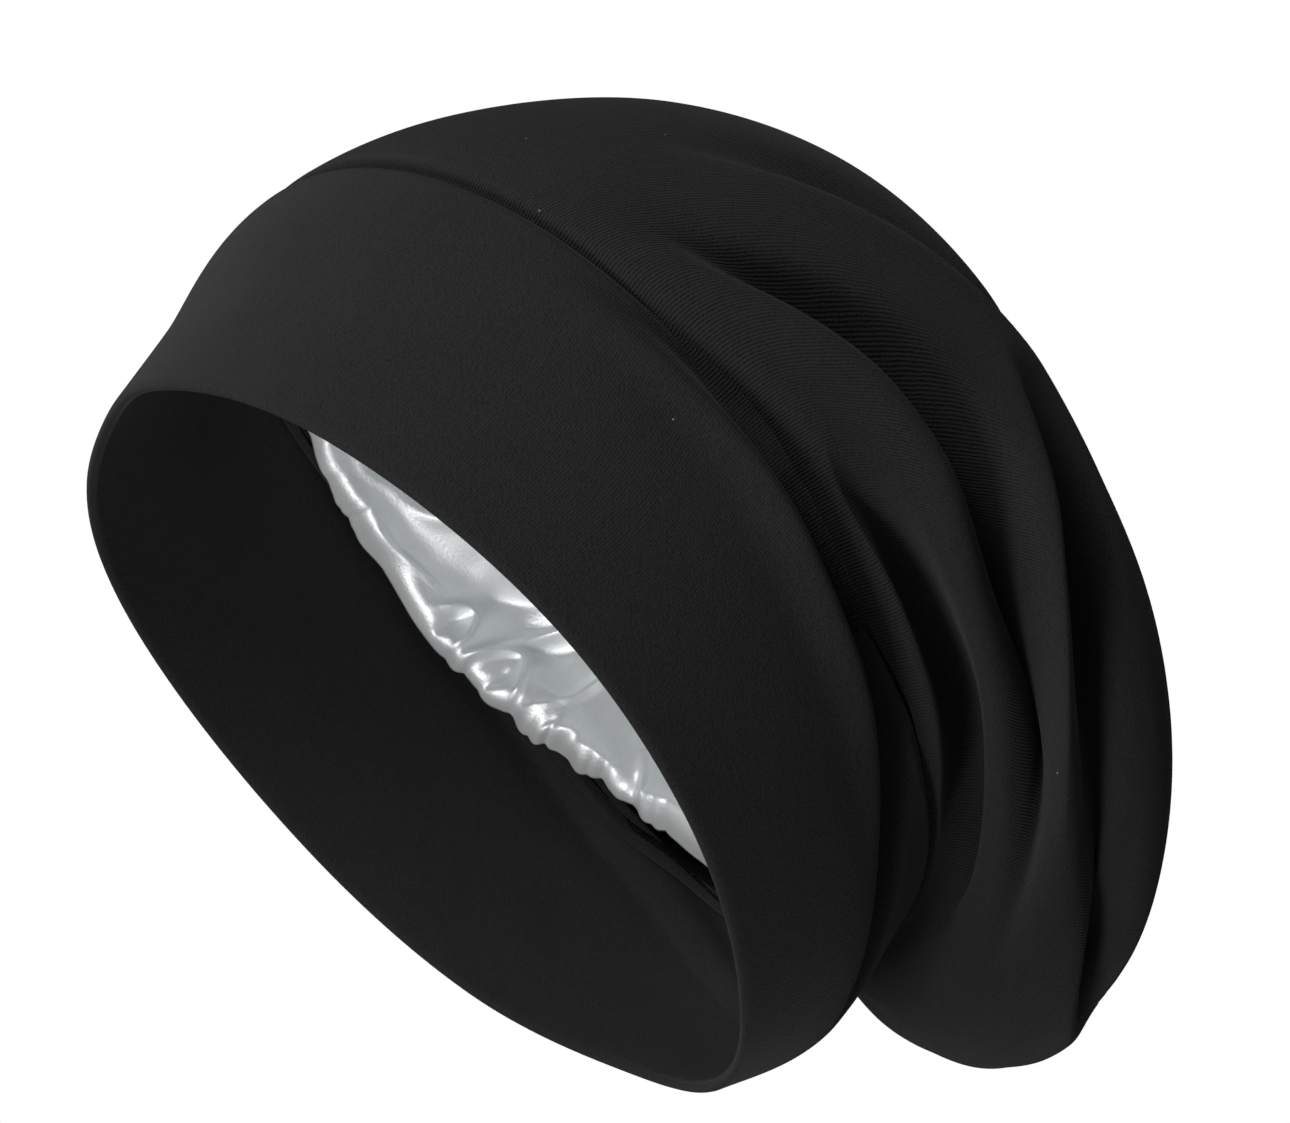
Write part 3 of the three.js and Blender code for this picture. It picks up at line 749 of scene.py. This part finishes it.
def jersey(context, name):
    """Black rib jersey: fine ribs from the rim to the tail with painted shade between them, a light
    nap and a little lint.
    """
    finish = context.scene.hat_finish
    pitch, relief = JERSEYS[name]
    material, tree, shader = shader_tree("jersey_" + name)
    around, along, place = cloth_places(tree)

    drift = calc(tree, "MULTIPLY", noise(tree, place, RIB_DRIFT_SCALE), RIB_DRIFT)
    ribs = waves(tree, around, finish.rib_pitch * pitch, drift)
    stitches = waves(tree, along, finish.rib_pitch * STITCH_PITCH, drift)
    nap = noise(tree, place, NAP_SCALE, detail=3.0)
    cloud = noise(tree, place, CLOUD_SCALE, detail=4.0)
    # Painted shade: the gaps between the ribs are darkened by their relief; nap and cloud are
    # random tone
    lit = weighed(tree, (span_of(tree, ribs, *RIB_EDGES), RIB_LIGHT * relief),
                  (span_of(tree, nap, *NAP_EDGES), NAP_LIGHT), (cloud, CLOUD_LIGHT))
    lit = calc(tree, "ADD", lit, FLAT_LIGHT * (1 - relief))
    colour = blend(tree, lit, (*finish.jersey_gap_shade, 1), (*finish.jersey, 1))

    specks = tree.nodes.new("ShaderNodeTexVoronoi")
    specks.inputs["Scale"].default_value = LINT_SCALE
    tree.links.new(place, specks.inputs["Vector"])
    lint = calc(tree, "LESS_THAN", specks.outputs["Distance"], LINT_SIZE)
    tree.links.new(blend(tree, lint, colour, LINT_COLOUR), shader.inputs["Base Color"])

    knit = weighed(tree, (ribs, 1.0), (stitches, STITCH_HEIGHT))
    normal = bump(tree, knit, (RIB_BUMP[0], RIB_BUMP[1] * relief))
    normal = bump(tree, nap, NAP_BUMP, normal)
    normal = bump(tree, cloud, CLOUD_BUMP, normal)
    tree.links.new(normal, shader.inputs["Normal"])
    set_sockets(shader, JERSEY_SHADER)
    return material


def satin(context):
    """Silver satin: a soft metallic gloss over a very fine weave, with painted sheen in its colour.
    """
    finish = context.scene.hat_finish
    material, tree, shader = shader_tree("satin")
    around, _, place = cloth_places(tree)
    weave = waves(tree, around, WEAVE_PITCH)
    grain = noise(tree, place, GRAIN_SCALE, detail=3.0)
    wrinkles = noise(tree, place, WRINKLE_SCALE)
    # Painted sheen: broad noise patches, with the fine grain, lighten the satin from its shade
    # colour
    lit = weighed(tree, (grain, GRAIN_LIGHT), (noise(tree, place, SHEEN_SCALE), SHEEN_LIGHT))
    colour = blend(tree, lit, (*finish.satin_shade, 1), (*finish.satin, 1))
    tree.links.new(colour, shader.inputs["Base Color"])
    normal = bump(tree, weave, WEAVE_BUMP)
    normal = bump(tree, grain, GRAIN_BUMP, normal)
    normal = bump(tree, wrinkles, WRINKLE_BUMP, normal)
    tree.links.new(normal, shader.inputs["Normal"])
    set_sockets(shader, SATIN_SHADER)
    return material


class BEANIE_OT_band(bpy.types.Operator):
    """Makes the double band round the head opening"""

    bl_idname = "beanie.band"
    bl_label = "Band"

    def execute(self, context):
        sizes = context.scene.hat_sizes
        cloth = Cloth(sizes)
        wall = sizes.band_wall
        edge = SEAM - SEAM_GAP * SEAM / sizes.band_height
        rise = 1 - np.linspace(1, 0, BAND_ROWS) ** SEAM_CROWDING
        roll = np.linspace(0, math.pi, RIM_ROWS)[1:-1]
        hem = wall / 2 * SEAM / sizes.band_height
        stations = np.concatenate([
            hem + (edge - hem) * rise[::-1],
            hem * (1 - np.sin(roll)),
            hem + (edge - hem) * rise,
            [edge]])
        insets = np.concatenate([
            np.zeros(len(rise)),
            wall / 2 * (1 - np.cos(roll)),
            np.full(len(rise), wall),
            [0.0]])
        mesh = wrapped_mesh("band", BAND_COLUMNS, len(stations) - 1,
                            shell_place(cloth, stations, insets),
                            chart_of(stations, AROUND, ALONG))
        band = add_piece("band_jersey", mesh, jersey(context, "band"), "band")
        return {"FINISHED"}


class BEANIE_OT_crown(bpy.types.Operator):
    """Makes the slouch crown with its folds"""

    bl_idname = "beanie.crown"
    bl_label = "Crown"

    def execute(self, context):
        sizes = context.scene.hat_sizes
        cloth = Cloth(sizes)
        wall = sizes.crown_wall
        outer = SEAM + (1 - SEAM) * np.linspace(0, 1, CROWN_ROWS) ** SEAM_CROWDING
        inner = np.linspace(SEAM, 1, CROWN_BACK_ROWS)[1:]
        behind = sizes.band_wall + ALLOWANCE_GAP
        stations = np.concatenate([
            outer[::-1], [SEAM, SEAM - ALLOWANCE, SEAM - ALLOWANCE, SEAM + ALLOWANCE / 2], inner])
        insets = np.concatenate([
            np.zeros(len(outer)), [behind, behind, behind + wall / 2, behind + wall / 2],
            np.full(len(inner), wall)])
        mesh = wrapped_mesh("crown", CROWN_COLUMNS, len(stations) - 1,
                            shell_place(cloth, stations, insets),
                            chart_of(stations, AROUND, ALONG))
        crown = add_piece("crown_jersey", mesh, jersey(context, "crown"), "crown")
        return {"FINISHED"}


class BEANIE_OT_lining(bpy.types.Operator):
    """Makes the satin lining with its gathered edge"""

    bl_idname = "beanie.lining"
    bl_label = "Lining"

    def execute(self, context):
        sizes = context.scene.hat_sizes
        cloth = Cloth(sizes)
        face = crowded(np.linspace(0, 1, LINING_ROWS))
        turned = crowded(np.linspace(0, 1, LINING_BACK_ROWS))
        shares = np.concatenate([turned[::-1], face])
        insets = np.concatenate([np.zeros(len(turned)), np.full(len(face), sizes.lining_wall)])

        def place(turn, row):
            share = shares[row]
            around = 2 * math.pi * turn
            angle = np.where(share >= 1, 0.0, around - SIDE_CROWDING * np.cos(around))
            return satin_face(cloth, share, angle, insets[row])

        mesh = wrapped_mesh("lining", LINING_COLUMNS, len(shares) - 1, place,
                            chart_of(shares, AROUND, SATIN_LENGTH))
        lining = add_piece("lining_satin", mesh, satin(context), "lining")
        return {"FINISHED"}


def camera_axes():
    """Directions from the target: to the right of the picture, up in it, and to the camera."""
    azimuth, elevation = math.radians(CAMERA_AZIMUTH), math.radians(CAMERA_ELEVATION)
    to_camera = Vector((math.sin(azimuth) * math.cos(elevation),
                        -math.cos(azimuth) * math.cos(elevation), math.sin(elevation)))
    right = Vector((0, 0, 1)).cross(to_camera).normalized()
    return right, to_camera.cross(right), to_camera


def add_softbox(name, right, up, near, distance, size, power):
    """A soft area light that faces the hat, placed by the picture's own directions."""
    axes = camera_axes()
    direction = (right * axes[0] + up * axes[1] + near * axes[2]).normalized()
    light = bpy.data.lights.new(name, "AREA")
    light.shape = "RECTANGLE"
    light.size, light.size_y = size
    light.energy = power
    lamp = bpy.data.objects.new(name, light)
    lamp.location = Vector(CAMERA_TARGET) + direction * distance
    lamp.rotation_mode = "QUATERNION"
    lamp.rotation_quaternion = (-direction).to_track_quat("-Z", "Y")
    bpy.context.scene.collection.objects.link(lamp)


class BEANIE_OT_stage(bpy.types.Operator):
    """Sets up the floor, the camera and the studio lights"""

    bl_idname = "beanie.stage"
    bl_label = "Stage"

    def execute(self, context):
        scene = context.scene
        camera = bpy.data.objects.new("camera", bpy.data.cameras.new("camera"))
        to_camera = camera_axes()[2]
        camera.location = Vector(CAMERA_TARGET) + to_camera * CAMERA_DISTANCE
        camera.rotation_mode = "QUATERNION"
        camera.rotation_quaternion = (-to_camera).to_track_quat("-Z", "Y")
        camera.data.lens = CAMERA_LENS
        camera.data.sensor_width = SENSOR_WIDTH
        camera.data.clip_start = CAMERA_NEAR
        scene.collection.objects.link(camera)
        scene.camera = camera

        bm = bmesh.new()
        bmesh.ops.create_grid(bm, x_segments=1, y_segments=1, size=FLOOR_SIZE)
        bmesh.ops.translate(bm, verts=bm.verts, vec=(0, 0, FLOOR_HEIGHT))
        mesh = bpy.data.meshes.new("floor")
        bm.to_mesh(mesh)
        bm.free()
        paper, _, shader = shader_tree("paper")
        set_sockets(shader, PAPER_SHADER)
        mesh.materials.append(paper)
        floor = bpy.data.objects.new("floor", mesh)
        scene.collection.objects.link(floor)

        world = bpy.data.worlds.new("studio")
        scene.world = world
        world.use_nodes = True
        nodes, links = world.node_tree.nodes, world.node_tree.links
        room = nodes["Background"]
        set_sockets(room, {"Color": WHITE, "Strength": ROOM_LIGHT})
        seen = nodes.new("ShaderNodeBackground")
        set_sockets(seen, {"Color": WHITE})
        path = nodes.new("ShaderNodeLightPath")
        mix = nodes.new("ShaderNodeMixShader")
        links.new(path.outputs["Is Camera Ray"], mix.inputs["Fac"])
        links.new(room.outputs["Background"], mix.inputs[1])
        links.new(seen.outputs["Background"], mix.inputs[2])
        links.new(mix.outputs["Shader"], nodes["World Output"].inputs["Surface"])
        scene.view_settings.view_transform = "Standard"

        for name, softbox in SOFTBOXES.items():
            add_softbox(name, **softbox)
        return {"FINISHED"}


class BEANIE_PT_panel(bpy.types.Panel):
    """Lists the hat's pieces, sizes and colours"""

    bl_idname = "BEANIE_PT_panel"
    bl_label = "Satin lined beanie"
    bl_space_type = "VIEW_3D"
    bl_region_type = "UI"
    bl_category = "Beanie"

    def draw(self, context):
        for operator in OPERATORS:
            self.layout.operator(operator.bl_idname)
        for group in (context.scene.hat_sizes, context.scene.hat_finish):
            for name in group.__annotations__:
                self.layout.prop(group, name)


OPERATORS = (BEANIE_OT_band, BEANIE_OT_crown, BEANIE_OT_lining, BEANIE_OT_stage)
CLASSES = (HatSizes, HatFinish, *OPERATORS, BEANIE_PT_panel)


def register():
    for cls in CLASSES:
        bpy.utils.register_class(cls)
    bpy.types.Scene.hat_sizes = bpy.props.PointerProperty(type=HatSizes)
    bpy.types.Scene.hat_finish = bpy.props.PointerProperty(type=HatFinish)


def unregister():
    del bpy.types.Scene.hat_finish
    del bpy.types.Scene.hat_sizes
    for cls in reversed(CLASSES):
        bpy.utils.unregister_class(cls)


def main():
    register()
    bpy.ops.beanie.band()
    bpy.ops.beanie.crown()
    bpy.ops.beanie.lining()
    bpy.ops.beanie.stage()


if __name__ == "__main__":
    main()
